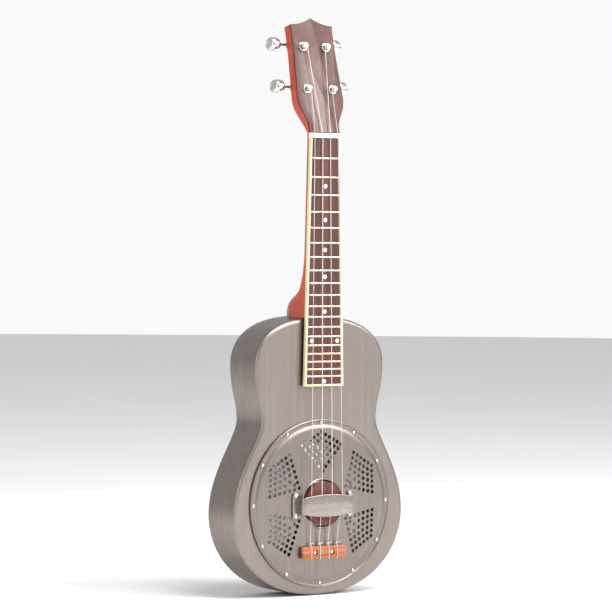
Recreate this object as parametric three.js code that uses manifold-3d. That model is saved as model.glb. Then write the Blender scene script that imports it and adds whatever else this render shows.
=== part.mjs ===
// Concert resonator ukulele with a pressed metal body, a biscuit cone and geared tuners.
// Millimetres. +Z runs up the neck, the strings face -Y, and X = 0 is the plane of symmetry.
// The origin is inside the neck under the nut, where a wall hanger's fork carries the instrument.
import * as THREE from "three";
import { mergeVertices } from "three/addons/utils/BufferGeometryUtils.js";
import Module from "manifold-3d";

const wasm = await Module();
wasm.setup();

// Clearance between neighbours, and sheet thickness of the pressed body.
const GAP = 0.3;
const SHEET = 1.2;

// Neck and strings.
const SCALE = 381;
const FRETS = 19;
const BOARD_FACE = -7;
const BOARD_THICK = 4.2;
const BOARD_LENGTH = 264.5;
const NUT_WIDTH = 38.8;
const BOARD_END_WIDTH = 50.2;
const BINDING = 2.2;
const NUT_LENGTH = 5.5;
const FRET_HEIGHT = 1;
const NECK_FACE = BOARD_FACE + BOARD_THICK + GAP;
const STRING_R = 0.4;
const STRING_SIDES = 8;
const STRING_REST = 0.15;
const NUT_STRING = new THREE.Vector2(15, -8.5);
const SADDLE_STRING = new THREE.Vector2(20, -14.3);
const SADDLE_Z = -383;
const STRING_RANKS = [-1, -1 / 3, 1 / 3, 1];

// Body: half widths of the bouts and the waist, and the heights where they lie.
const BODY_TOP = -190.5;
const BODY_BOTTOM = -488.4;
const BODY_DEPTH = 52;
const EDGE_R = 4;
const FLANGE = 12;
const UPPER_BOUT = new THREE.Vector2(83.5, -241);
const WAIST = new THREE.Vector2(74.9, -301.4);
const LOWER_BOUT = new THREE.Vector2(109.9, -401);
const STICK = new THREE.Vector2(20, 18);
const STICK_Y = 28;

// Resonator and cover, round the cover's centre.
const COVER_Z = -390;
const COVER_R = 90.2;
const COVER_HOLE_R = 25.5;
const COVER_SHEET = 1;
const COVER_SCREWS = 12;
const COVER_SCREW_R = 85.9;
const DOME_R = 82.8;
const DOME_EDGE_Y = -2.2;
const DOME_TOP_Y = -5.8;
const OPENING_R = 82;
const WELL_R = 80;
const WELL_LEDGE_Y = 15.1;
const CONE_R = 79;
const BISCUIT_R = 23.5;
const BISCUIT_FACE = -9.5;
const BISCUIT_BACK = -1.8;
const SADDLE_LENGTH = 43.6;
const SADDLE_THICK = 2.6;
const SADDLE_SEAT = -6.8;
const SADDLE_TOP = SADDLE_STRING.y + STRING_R + STRING_REST;

// Palm rest and tie block.
const REST_Z = -391.5;
const REST_SCREW = new THREE.Vector2(34.7, 10.7);
const BLOCK_Z = -442;
const BLOCK = new THREE.Vector3(56, 4.8, 13);
const BLOCK_BACK = -5;
const BLOCK_STRING = 16.8;
const BLOCK_HOLE_Y = -7.2;
const BLOCK_SCREW_X = 10.85;

// Headstock and tuners; the headstock's own frame has x across, y up its face and z out of it.
const TILT = THREE.MathUtils.degToRad(13.5);
const HEAD_THICK = 14;
const VENEER = 1.8;
const HEAD_FOOT = 6.4;
const POSTS = [
  new THREE.Vector2(-16.4, 54),
  new THREE.Vector2(-14.8, 101),
  new THREE.Vector2(14.8, 101),
  new THREE.Vector2(16.4, 54),
];
const POST_R = 3;
const POST_PROUD = 7;
const POST_BORE_R = 4.6;
const KNOB_REACH = 24.5;
const KNOB_LENGTH = 13.4;
const KNOB_R = 7.75;
const SHAFT_R = 1.5;
const GEAR_TEETH = 14;
const WORM_PITCH = 2;
const WORM_R = 2.5;
const WORM_LENGTH = 6;
const GEAR_R = (GEAR_TEETH * WORM_PITCH) / (2 * Math.PI);
const WORM_OFFSET = GEAR_R + WORM_R + 0.05;
const WORM_DEPTH = 5;
const GEAR_WIDTH = 3;

const material = (color, roughness, metalness) =>
  new THREE.MeshStandardMaterial({ color, roughness, metalness });
const NICKEL = material(0x8d8480, 0.35, 0.9);
const CHROME = material(0xd8d8da, 0.12, 1);
const STEEL = material(0xb4b4b6, 0.3, 1);
const BRASS = material(0xb89a5a, 0.35, 1);
const ALUMINIUM = material(0xc9c9cb, 0.4, 1);
const MAHOGANY = material(0xb04a22, 0.4, 0);
const ROSEWOOD = material(0x4a2020, 0.5, 0);
const BLACK_WOOD = material(0x151210, 0.5, 0);
const TIE_WOOD = material(0xa8583a, 0.5, 0);
const BISCUIT_WOOD = material(0x5a2c22, 0.6, 0);
const WHITE = material(0xf2ecdc, 0.35, 0);
const NYLON = material(0xd9c6bb, 0.3, 0);

// ---- solids ----------------------------------------------------------------------------------

function toSolid(geometry) {
  const loose = geometry.index ? geometry.toNonIndexed() : geometry;
  const bare = new THREE.BufferGeometry();
  bare.setAttribute("position", loose.getAttribute("position"));
  const merged = mergeVertices(bare, 1e-4);
  const mesh = new wasm.Mesh({
    numProp: 3,
    vertProperties: merged.attributes.position.array,
    triVerts: new Uint32Array(merged.index.array),
  });
  return new wasm.Manifold(mesh);
}

function toGeometry(solid) {
  const { vertProperties, triVerts } = solid.getMesh();
  const geometry = new THREE.BufferGeometry();
  geometry.setAttribute("position", new THREE.BufferAttribute(Float32Array.from(vertProperties), 3));
  geometry.setIndex(new THREE.BufferAttribute(Uint32Array.from(triVerts), 1));
  geometry.computeVertexNormals();
  return geometry;
}

const join = (...parts) => toGeometry(parts.map(toSolid).reduce((a, b) => a.add(b)));
const cut = (part, ...tools) =>
  toGeometry(tools.map(toSolid).reduce((a, b) => a.subtract(b), toSolid(part)));

// Turns a closed geometry's faces outwards if its enclosed volume comes out negative.
function outward(geometry) {
  const { position } = geometry.attributes;
  const index = geometry.index.array;
  const [a, b, c] = [new THREE.Vector3(), new THREE.Vector3(), new THREE.Vector3()];
  let volume = 0;
  for (let i = 0; i < index.length; i += 3) {
    a.fromBufferAttribute(position, index[i]);
    b.fromBufferAttribute(position, index[i + 1]);
    c.fromBufferAttribute(position, index[i + 2]);
    volume += a.dot(b.cross(c));
  }
  if (volume < 0) index.reverse();
  return geometry;
}

// Skins a row of equal rings. The row either ends in flat caps or joins up with its first ring.
function loft(rings, joined = false) {
  const count = rings[0].length;
  const points = rings.flat();
  const index = [];
  const rows = joined ? rings.length : rings.length - 1;
  for (let row = 0; row < rows; row++) {
    const near = row * count;
    const far = ((row + 1) % rings.length) * count;
    for (let j = 0; j < count; j++) {
      const k = (j + 1) % count;
      index.push(near + j, near + k, far + j, near + k, far + k, far + j);
    }
  }
  if (!joined) {
    const ends = [[rings[0], 0, true], [rings.at(-1), (rings.length - 1) * count, false]];
    for (const [ring, start, turned] of ends) {
      const hub = points.length;
      points.push(ring.reduce((sum, p) => sum.add(p), new THREE.Vector3()).divideScalar(count));
      for (let j = 0; j < count; j++) {
        const edge = [start + j, start + ((j + 1) % count)];
        index.push(hub, ...(turned ? edge.reverse() : edge));
      }
    }
  }
  const geometry = new THREE.BufferGeometry().setFromPoints(points);
  geometry.setIndex(new THREE.BufferAttribute(new Uint32Array(index), 1));
  geometry.computeVertexNormals();
  return outward(geometry);
}

// A solid of revolution about Y from [radius, y] pairs that close on themselves or on the axis.
function turned(profile, segments) {
  const onAxis = profile[0][0] === 0;
  const closed = onAxis ? profile : [...profile, profile[0]];
  return outward(new THREE.LatheGeometry(closed.map(([r, y]) => new THREE.Vector2(r, y)), segments));
}

const rod = (radius, length, sides) => new THREE.CylinderGeometry(radius, radius, length, sides);
const box = (x, y, z) => new THREE.BoxGeometry(x, y, z);

// A round-head machine screw along Y: the head's seat is at y = 0 and the shank runs to +Y.
function screw(headR, headHeight, shankR, length) {
  return turned([
    [0, -headHeight],
    [headR * 0.75, -headHeight * 0.7],
    [headR, 0],
    [shankR, 0],
    [shankR, length],
    [0, length],
  ], 8);
}

// A curve through listed points whose steps fall on the points themselves.
class Route extends THREE.Curve {
  constructor(points) {
    super();
    this.points = points;
  }
  getPoint(t, target = new THREE.Vector3()) {
    const place = t * (this.points.length - 1);
    const i = Math.min(Math.floor(place), this.points.length - 2);
    return target.lerpVectors(this.points[i], this.points[i + 1], place - i);
  }
  getPointAt(t, target) {
    return this.getPoint(t, target);
  }
  getTangentAt(t, target = new THREE.Vector3()) {
    const i = Math.round(t * (this.points.length - 1));
    const before = this.points[Math.max(i - 1, 0)];
    const after = this.points[Math.min(i + 1, this.points.length - 1)];
    return target.subVectors(after, before).normalize();
  }
}

const mesh = (name, geometry, finish) => {
  const made = new THREE.Mesh(geometry, finish);
  made.name = name;
  return made;
};

// ---- body ------------------------------------------------------------------------------------

// Right half of the outline from the top centre to the bottom centre, then its mirror image.
function bodyOutline() {
  const at = (x, z) => new THREE.Vector2(x, z);
  const right = new THREE.CurvePath();
  right.add(new THREE.CubicBezierCurve(at(0, BODY_TOP), at(71.5, BODY_TOP),
    at(UPPER_BOUT.x, UPPER_BOUT.y + 18.2), UPPER_BOUT));
  right.add(new THREE.CubicBezierCurve(UPPER_BOUT, at(UPPER_BOUT.x, UPPER_BOUT.y - 29.4),
    at(WAIST.x, WAIST.y + 21), WAIST));
  right.add(new THREE.CubicBezierCurve(WAIST, at(WAIST.x, WAIST.y - 18.4),
    at(LOWER_BOUT.x, LOWER_BOUT.y + 44.8), LOWER_BOUT));
  right.add(new THREE.CubicBezierCurve(LOWER_BOUT, at(LOWER_BOUT.x, LOWER_BOUT.y - 39.6),
    at(77.9, BODY_BOTTOM), at(0, BODY_BOTTOM)));
  const half = right.curves.flatMap((curve) => curve.getPoints(7).slice(0, -1));
  const bottom = at(0, BODY_BOTTOM);
  const left = half.slice(1).reverse().map((p) => at(-p.x, p.y));
  return [...half, bottom, ...left];
}

const OUTLINE = bodyOutline();

// The outline moved inwards by an inset, at a given depth.
function bodyRing(inset, y) {
  return OUTLINE.map((p, i) => {
    const before = OUTLINE.at(i - 1);
    const after = OUTLINE[(i + 1) % OUTLINE.length];
    const along = after.clone().sub(before).normalize();
    return new THREE.Vector3(p.x + along.y * inset, y, p.y - along.x * inset);
  });
}

// A circle round the cover's centre whose points face the outline's points.
function openingRing(radius, y) {
  return OUTLINE.map((p) => {
    const angle = Math.atan2(p.y - COVER_Z, p.x);
    return new THREE.Vector3(radius * Math.cos(angle), y, COVER_Z + radius * Math.sin(angle));
  });
}

// Rings round a pressed edge, from the flange's rim to the flat of the plate.
function edgeRings(radius, centreY, rimY, front) {
  const rings = [bodyRing(EDGE_R - radius, rimY)];
  const steps = 2;
  for (let i = 0; i <= steps; i++) {
    const angle = (i / steps) * (Math.PI / 2);
    const inset = EDGE_R - radius * Math.cos(angle);
    rings.push(bodyRing(inset, centreY + front * radius * Math.sin(angle)));
  }
  return rings;
}

function bodyTop() {
  const outer = edgeRings(EDGE_R, EDGE_R, FLANGE, -1);
  const inner = edgeRings(EDGE_R - SHEET, EDGE_R, FLANGE, -1).reverse();
  const opening = [openingRing(OPENING_R, 0), openingRing(OPENING_R, SHEET)];
  const plate = loft([...outer, ...opening, ...inner], true);
  return cut(plate, ...coverScrewPlaces().map((p) => rod(1.5, 8, 6).translate(p.x, 0, p.z)));
}

function bodyBack() {
  const centre = BODY_DEPTH - EDGE_R;
  const rim = BODY_DEPTH - FLANGE;
  const outer = edgeRings(EDGE_R, centre, rim, 1).reverse();
  const inner = edgeRings(EDGE_R - SHEET, centre, rim, 1);
  return loft([...outer, ...inner]);
}

function bodySides() {
  const front = FLANGE + GAP;
  const back = BODY_DEPTH - FLANGE - GAP;
  const outer = [bodyRing(0, front), bodyRing(0, back)];
  const inner = [bodyRing(SHEET, back), bodyRing(SHEET, front)];
  const band = loft([...outer, ...inner], true);
  return cut(band, box(STICK.x + 2 * GAP, STICK.y + 2 * GAP, 12).translate(0, STICK_Y, BODY_TOP));
}

// The stick carries the neck's load through the body to the tail.
function neckStick() {
  const top = BODY_TOP - 4 * GAP;
  const bottom = BODY_BOTTOM + SHEET + 3 * GAP;
  return box(STICK.x, STICK.y, top - bottom).translate(0, STICK_Y, (top + bottom) / 2);
}

// ---- resonator -------------------------------------------------------------------------------

const domeY = (r) => DOME_EDGE_Y + (DOME_TOP_Y - DOME_EDGE_Y) * (1 - (r / DOME_R) ** 2);

function coverScrewPlaces() {
  return Array.from({ length: COVER_SCREWS }, (_, i) => {
    const angle = Math.PI / 2 - (i * 2 * Math.PI) / COVER_SCREWS;
    const x = COVER_SCREW_R * Math.cos(angle);
    return new THREE.Vector3(x, 0, COVER_Z + COVER_SCREW_R * Math.sin(angle));
  });
}

function restScrewPlaces() {
  const places = [];
  for (const side of [-1, 1]) {
    for (const end of [1, -1]) {
      places.push(new THREE.Vector3(side * REST_SCREW.x, 0, REST_Z + end * REST_SCREW.y));
    }
  }
  return places;
}

const blockScrewPlaces = () =>
  [-1, 1].map((side) => new THREE.Vector3(side * BLOCK_SCREW_X, 0, BLOCK_Z));

function coverplate() {
  const radii = [66, 46, 30];
  const plate = turned([
    [COVER_R, -GAP],
    [COVER_R, -2],
    [COVER_R - 0.8, -2.7],
    [COVER_R - 1.7, -2.7],
    [COVER_R - 2.4, -1.5],
    [84, -1.5],
    [DOME_R, DOME_EDGE_Y],
    ...radii.map((r) => [r, domeY(r)]),
    [27.2, domeY(27.2)],
    [26.5, -6.2],
    [COVER_HOLE_R, -6.2],
    [COVER_HOLE_R, -4.6],
    ...radii.map((r) => [r, domeY(r) + COVER_SHEET]).reverse(),
    [DOME_R - 1, -GAP - 0.6],
    [DOME_R, -GAP],
  ], 40).translate(0, 0, COVER_Z);
  const places = [...coverScrewPlaces(), ...restScrewPlaces(), ...blockScrewPlaces()];
  return cut(plate, ...places.map((p) => rod(1.6, 16, 6).translate(p.x, 0, p.z)));
}

function soundwell() {
  return turned([
    [WELL_R + 4, SHEET + GAP],
    [WELL_R + 4, SHEET + GAP + 1],
    [WELL_R + 1, SHEET + GAP + 1],
    [WELL_R + 1, WELL_LEDGE_Y + 1],
    [70, WELL_LEDGE_Y + 1],
    [70, WELL_LEDGE_Y],
    [WELL_R, WELL_LEDGE_Y],
    [WELL_R, SHEET + GAP],
  ], 40).translate(0, 0, COVER_Z);
}

function resonatorCone() {
  const rim = WELL_LEDGE_Y - GAP;
  const sheet = 0.8;
  const tip = BISCUIT_BACK + GAP;
  return turned([
    [CONE_R, rim],
    [CONE_R, rim - sheet],
    [74, rim - sheet],
    [25, tip + 1.2],
    [24, tip],
    [2, tip],
    [2, tip + sheet],
    [23.6, tip + sheet],
    [24.6, tip + 1.2 + sheet],
    [73.6, rim],
  ], 40).translate(0, 0, COVER_Z);
}

function biscuit() {
  const thick = BISCUIT_BACK - BISCUIT_FACE;
  const disc = rod(BISCUIT_R, thick, 32).translate(0, (BISCUIT_BACK + BISCUIT_FACE) / 2, COVER_Z);
  const slotDepth = SADDLE_SEAT + GAP - BISCUIT_FACE;
  const slot = box(60, 2 * slotDepth, SADDLE_THICK + 2 * GAP).translate(0, BISCUIT_FACE, SADDLE_Z);
  const pilot = rod(1.8, 10, 10).translate(0, BISCUIT_BACK, COVER_Z);
  return cut(disc, slot, pilot);
}

// The saddle's crown is narrower than its root, so each string breaks over a line.
function saddle() {
  const half = SADDLE_THICK / 2;
  const shape = new THREE.Shape();
  shape.moveTo(-half, SADDLE_SEAT);
  shape.lineTo(half, SADDLE_SEAT);
  shape.lineTo(half, SADDLE_TOP + 2);
  shape.quadraticCurveTo(half, SADDLE_TOP, 0, SADDLE_TOP);
  shape.quadraticCurveTo(-half, SADDLE_TOP, -half, SADDLE_TOP + 2);
  const settings = { depth: SADDLE_LENGTH, bevelEnabled: false, curveSegments: 4 };
  const bar = new THREE.ExtrudeGeometry(shape, settings);
  return bar.rotateY(-Math.PI / 2).translate(SADDLE_LENGTH / 2, 0, SADDLE_Z);
}

// A strap on two eared feet: each station gives x, the outer face's y, its lean and half width.
function palmRest() {
  const strap = 1.2;
  const foot = -5.6;
  const half = [
    [39.5, foot - strap, 0, 13.8],
    [31.8, foot - strap, 0, 13.8],
  ];
  const arch = [
    [34.4, foot - strap - 0.2, 80, 8.2],
    [33.2, -14, 80, 8.8],
    [32, -16.4, 45, 9.2],
    [29.4, -17.1, 12, 9.6],
    [15, -17.7, 3, 11.4],
    [0, -17.9, 0, 12],
  ];
  const station = ([x, y, lean, width], side) => {
    const angle = THREE.MathUtils.degToRad(lean);
    const inner = [x - strap * Math.sin(angle), y + strap * Math.cos(angle)];
    return [[x, y, width], [x, y, -width], [...inner, -width], [...inner, width]].map(
      ([px, py, pz]) => new THREE.Vector3(side * px, py, REST_Z + pz));
  };
  const mirrored = arch.slice(0, -1).reverse();
  const right = arch.map((s) => station(s, 1));
  const left = mirrored.map((s) => station(s, -1));
  const bridge = loft([...right, ...left]);
  const feet = [1, -1].map((side) => loft(half.map((s) => station(s, side))));
  const holes = restScrewPlaces().map((p) => rod(1.4, 8, 8).translate(p.x, foot, p.z));
  return cut(join(bridge, ...feet), ...holes);
}

function tieBlock() {
  const corner = 2.5;
  const [w, h] = [BLOCK.x / 2, BLOCK.z / 2];
  const shape = new THREE.Shape();
  shape.moveTo(-w + corner, -h);
  shape.lineTo(w - corner, -h);
  shape.quadraticCurveTo(w, -h, w, -h + corner);
  shape.lineTo(w, h - corner);
  shape.quadraticCurveTo(w, h, w - corner, h);
  shape.lineTo(-w + corner, h);
  shape.quadraticCurveTo(-w, h, -w, h - corner);
  shape.lineTo(-w, -h + corner);
  shape.quadraticCurveTo(-w, -h, -w + corner, -h);
  const settings = { depth: BLOCK.y, bevelEnabled: false, curveSegments: 3 };
  const body = new THREE.ExtrudeGeometry(shape, settings);
  body.rotateX(Math.PI / 2).translate(0, BLOCK_BACK, BLOCK_Z);
  const ties = STRING_RANKS.map((rank) =>
    rod(0.9, 20, 8).rotateX(Math.PI / 2).translate(rank * BLOCK_STRING, BLOCK_HOLE_Y, BLOCK_Z));
  const wells = blockScrewPlaces().flatMap((p) => [
    rod(2.9, 4.4, 12).translate(p.x, BLOCK_BACK - BLOCK.y, p.z),
    rod(1.6, 20, 8).translate(p.x, BLOCK_BACK, p.z),
  ]);
  return cut(body, ...ties, ...wells);
}

// ---- neck ------------------------------------------------------------------------------------

const boardHalfWidth = (z) => (NUT_WIDTH + ((BOARD_END_WIDTH - NUT_WIDTH) * -z) / BOARD_LENGTH) / 2;

// Height, back of the wood and squareness of the neck's section, from the head to the heel.
const NECK_SECTIONS = [
  [9, 9.4, 2.4],
  [0, 7.6, 2.2],
  [-60, 8, 2.2],
  [-120, 8.9, 2.2],
  [-136, 10.8, 2.3],
  [-147, 14, 2.4],
  [-156, 17.6, 2.6],
  [-163, 22, 2.7],
  [-168, 30, 2.8],
  [-172, 37.5, 2.9],
  [-177, 43.5, 3],
  [-184, 47.2, 3],
  [-197, 48, 3],
];

function neckRing([z, back, squareness]) {
  const steps = 16;
  const halfWidth = boardHalfWidth(Math.min(z, 0));
  return Array.from({ length: steps + 1 }, (_, i) => {
    const angle = (i / steps) * Math.PI;
    const across = Math.sign(Math.cos(angle)) * Math.abs(Math.cos(angle)) ** (2 / squareness);
    const deep = Math.max(Math.sin(angle), 0) ** (2 / squareness);
    return new THREE.Vector3(halfWidth * across, NECK_FACE + (back - NECK_FACE) * deep, z);
  });
}

// The headstock's outline: a narrow throat, wide shoulders, and a crest that rises to a point.
function headShape(foot) {
  const side = [
    [19.2, 10],
    [19.6, 16],
    [23.4, 25],
    [27.6, 34],
    [29.4, 44],
    [28.6, 60],
    [27.2, 88],
    [26.6, 112],
    [27, 125.4],
  ];
  const points = side.map(([x, y]) => new THREE.Vector2(x, y));
  const mirrored = points.map((p) => new THREE.Vector2(-p.x, p.y)).reverse();
  const shape = new THREE.Shape();
  shape.moveTo(19.2, foot);
  shape.splineThru(points);
  shape.quadraticCurveTo(12, 125.8, 0, 133.5);
  shape.quadraticCurveTo(-12, 125.8, -27, 125.4);
  shape.splineThru(mirrored.slice(1));
  shape.lineTo(-19.2, foot);
  return shape;
}

const postBores = (radius) =>
  POSTS.map((p) => rod(radius, 60, 12).rotateX(Math.PI / 2).translate(p.x, p.y, 0));

const head = new THREE.Group();
head.position.set(0, BOARD_FACE, 0);
head.rotation.x = Math.PI / 2 - TILT;
head.updateMatrix();

function neck() {
  const depth = HEAD_THICK - VENEER - GAP;
  const settings = { depth, bevelEnabled: false, curveSegments: 3 };
  const slab = new THREE.ExtrudeGeometry(headShape(HEAD_FOOT), settings);
  slab.translate(0, 0, -HEAD_THICK);
  const blade = cut(slab, ...postBores(POST_BORE_R)).applyMatrix4(head.matrix);
  const body = loft([bodyRing(-GAP, -20), bodyRing(-GAP, 80)]);
  return cut(join(loft(NECK_SECTIONS.map(neckRing)), blade), body);
}

function headplate() {
  const settings = { depth: VENEER, bevelEnabled: false, curveSegments: 3 };
  const plate = new THREE.ExtrudeGeometry(headShape(HEAD_FOOT), settings);
  return cut(plate.translate(0, 0, -VENEER), ...postBores(POST_BORE_R));
}

// A tapered slab that follows the fingerboard's edges, drawn in by an inset.
function taperedSlab(top, bottom, inset, front, back) {
  const corner = (side, z, y) => new THREE.Vector3(side * (boardHalfWidth(z) - inset), y, z);
  const ring = (z) => [corner(-1, z, front), corner(1, z, front), corner(1, z, back), corner(-1, z, back)];
  return loft([ring(top), ring(bottom)]);
}

const fretZ = (n) => -SCALE * (1 - 2 ** (-n / 12));

function fingerboard() {
  const inset = BINDING + GAP;
  const back = BOARD_FACE + BOARD_THICK;
  const board = taperedSlab(0, -BOARD_LENGTH + inset, inset, BOARD_FACE, back);
  const wires = Array.from({ length: FRETS }, (_, i) => {
    const z = fretZ(i + 1);
    const wire = rod(FRET_HEIGHT, 2 * (boardHalfWidth(z) - inset), 6).rotateZ(Math.PI / 2);
    return wire.translate(0, BOARD_FACE, z);
  });
  return join(board, ...wires);
}

function binding() {
  const back = BOARD_FACE + BOARD_THICK;
  const strip = taperedSlab(0, -BOARD_LENGTH, 0, BOARD_FACE, back);
  const core = taperedSlab(5, -BOARD_LENGTH + BINDING, BINDING, BOARD_FACE - 5, back + 5);
  return cut(strip, core);
}

function fingerboardRiser() {
  return taperedSlab(BODY_TOP - 3, -BOARD_LENGTH + 3, 3, NECK_FACE, -GAP);
}

function nut() {
  const top = NUT_STRING.y + STRING_R + STRING_REST;
  const shape = new THREE.Shape();
  shape.moveTo(GAP, NECK_FACE - GAP);
  shape.lineTo(NUT_LENGTH, NECK_FACE - GAP);
  shape.lineTo(NUT_LENGTH, top + 1.2);
  shape.quadraticCurveTo(NUT_LENGTH - 0.6, top, 2.5, top);
  shape.lineTo(GAP, top);
  const settings = { depth: NUT_WIDTH, bevelEnabled: false, curveSegments: 3 };
  const bar = new THREE.ExtrudeGeometry(shape, settings);
  return bar.rotateY(-Math.PI / 2).translate(NUT_WIDTH / 2, 0, 0);
}

// One string: post, nut, saddle, down through the tie block, and back over its face.
function string(index) {
  const rank = STRING_RANKS[index];
  const post = POSTS[index];
  const side = Math.sign(post.x);
  const waist = POST_R - 0.6 + STRING_R + GAP;
  const start = new THREE.Vector3(post.x - side * waist, post.y, 4).applyMatrix4(head.matrix);
  const tie = rank * BLOCK_STRING;
  const blockTop = BLOCK_Z + BLOCK.z / 2;
  const blockFoot = BLOCK_Z - BLOCK.z / 2;
  const face = BLOCK_BACK - BLOCK.y - STRING_R - STRING_REST;
  const points = [
    start,
    new THREE.Vector3(rank * NUT_STRING.x, NUT_STRING.y, 2.5),
    new THREE.Vector3(rank * SADDLE_STRING.x, SADDLE_STRING.y, SADDLE_Z),
    new THREE.Vector3(tie, BLOCK_HOLE_Y, blockTop + 0.8),
    new THREE.Vector3(tie, BLOCK_HOLE_Y, blockFoot - 0.3),
    new THREE.Vector3(tie, BLOCK_HOLE_Y - 0.7, blockFoot - 1.1),
    new THREE.Vector3(tie, face + 1.2, blockFoot - 1.1),
    new THREE.Vector3(tie, face, blockFoot),
    new THREE.Vector3(tie, face, blockTop),
    new THREE.Vector3(tie + 0.8, face + 1, blockTop + 1.1),
  ];
  const section = new THREE.Shape();
  section.absarc(0, 0, STRING_R, 0, 2 * Math.PI);
  return new THREE.ExtrudeGeometry(section, {
    steps: points.length - 1,
    extrudePath: new Route(points),
    curveSegments: STRING_SIDES / 2,
  });
}

// ---- tuners ----------------------------------------------------------------------------------
// A tuner's own frame is centred on its post at the back of the headstock: x points to the knob,
// y up the headstock and z out of its face, so the plate, gear and worm are at negative z.

function tunerPlate() {
  const plate = box(16, 21, 1).translate(0, 3, -GAP - 0.5);
  const ears = [-5.3, 5.3].map((x) => box(1.2, 7, 8.6).translate(x, WORM_OFFSET, -GAP - 4.3));
  const bearing = rod(SHAFT_R + GAP + 0.05, 30, 10).rotateZ(Math.PI / 2);
  bearing.translate(0, WORM_OFFSET, -WORM_DEPTH);
  return cut(join(plate, ...ears), bearing, rod(POST_R + 2 * GAP, 10, 10).rotateX(Math.PI / 2));
}

function tunerFerrule() {
  const front = HEAD_THICK + GAP;
  const ring = turned([
    [5, front],
    [4.6, front + 1.1],
    [POST_R + 0.4, front + 1.1],
    [POST_R + 0.4, front - 8],
    [POST_BORE_R - GAP, front - 8],
    [POST_BORE_R - GAP, front],
  ], 16);
  return ring.rotateX(Math.PI / 2);
}

function gearShape() {
  const tooth = (2 * Math.PI) / GEAR_TEETH;
  const shape = new THREE.Shape();
  const corners = [[-0.3, 3.7], [-0.11, 5], [0.11, 5], [0.3, 3.7]];
  for (let i = 0; i < GEAR_TEETH; i++) {
    for (const [turn, radius] of corners) {
      const angle = Math.PI / 2 + (i + turn) * tooth;
      const [x, y] = [radius * Math.cos(angle), radius * Math.sin(angle)];
      if (i === 0 && turn < -0.2) shape.moveTo(x, y);
      else shape.lineTo(x, y);
    }
  }
  return shape;
}

// Turns each vertex about Z by an angle that grows with its height.
function twist(geometry, perLength) {
  const { position } = geometry.attributes;
  const point = new THREE.Vector3();
  const axis = new THREE.Vector3(0, 0, 1);
  for (let i = 0; i < position.count; i++) {
    point.fromBufferAttribute(position, i);
    point.applyAxisAngle(axis, perLength * point.z);
    position.setXYZ(i, point.x, point.y, point.z);
  }
  return geometry;
}

// String post with a waisted head, its shank through the headstock, and the worm gear behind.
function tunerPost() {
  const face = HEAD_THICK;
  const shank = turned([
    [0, face + POST_PROUD],
    [POST_R, face + POST_PROUD - 0.6],
    [POST_R - 0.6, face + 4.4],
    [POST_R, face + 2],
    [POST_R, -WORM_DEPTH - 1],
    [2.2, -WORM_DEPTH - 2.6],
    [0, -WORM_DEPTH - 2.6],
  ], 10).rotateX(Math.PI / 2);
  const gear = new THREE.ExtrudeGeometry(gearShape(), { depth: GEAR_WIDTH, bevelEnabled: false });
  gear.translate(0, 0, -GEAR_WIDTH / 2);
  const lead = WORM_PITCH / (2 * Math.PI * WORM_R);
  twist(gear, lead / GEAR_R);
  return join(shank, gear.translate(0, 0, -WORM_DEPTH));
}

// A single-start thread: an off-centre cam twisted one turn for each pitch along the shaft.
function worm() {
  const shape = new THREE.Shape();
  const [crest, root] = [3.05, 1.8];
  const onArc = (degrees, radius) => {
    const angle = THREE.MathUtils.degToRad(degrees);
    return new THREE.Vector2(radius * Math.cos(angle), radius * Math.sin(angle));
  };
  const high = [-55, -18, 18, 55].map((degrees) => onArc(degrees, crest));
  const low = [100, 153, 207, 260].map((degrees) => onArc(degrees, root));
  shape.setFromPoints([...high, ...low]);
  const steps = (9 * WORM_LENGTH) / WORM_PITCH;
  const thread = new THREE.ExtrudeGeometry(shape, { depth: WORM_LENGTH, steps, bevelEnabled: false });
  return twist(thread.translate(0, 0, -WORM_LENGTH / 2), (2 * Math.PI) / WORM_PITCH);
}

function wormShaft() {
  const inner = -6.8;
  const outer = KNOB_REACH + 1;
  const shaft = rod(SHAFT_R, outer - inner, 8).rotateZ(Math.PI / 2).translate((outer + inner) / 2, 0, 0);
  const alongX = new THREE.Matrix4().makeBasis(
    new THREE.Vector3(0, 1, 0), new THREE.Vector3(0, 0, 1), new THREE.Vector3(1, 0, 0));
  return join(shaft, worm().applyMatrix4(alongX)).translate(0, WORM_OFFSET, 0);
}

function tunerKnob() {
  const bore = SHAFT_R + GAP;
  const half = KNOB_LENGTH / 2;
  const barrel = turned([
    [0, half],
    [5, half],
    [KNOB_R, half - 3.4],
    [KNOB_R, -half + 3.4],
    [5, -half],
    [bore, -half],
    [bore, 1 + GAP],
    [0, 1 + GAP],
  ], 16);
  return barrel.rotateZ(-Math.PI / 2).translate(KNOB_REACH, WORM_OFFSET, 0);
}

function tuner(index) {
  const post = POSTS[index];
  const side = Math.sign(post.x);
  const name = (part) => "tuner_" + (index + 1) + "_" + part;
  const group = new THREE.Group();
  group.position.set(post.x, post.y, -HEAD_THICK);
  const drive = new THREE.Group();
  drive.position.set(0, 0, -WORM_DEPTH);
  drive.rotation.y = side > 0 ? 0 : Math.PI;
  drive.add(mesh(name("worm_shaft"), wormShaft(), STEEL), mesh(name("knob"), tunerKnob(), CHROME));
  group.add(
    mesh(name("plate"), tunerPlate(), STEEL),
    mesh(name("ferrule"), tunerFerrule(), CHROME),
    mesh(name("post"), tunerPost(), STEEL),
    drive,
  );
  return group;
}

// ---- assembly --------------------------------------------------------------------------------

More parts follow.
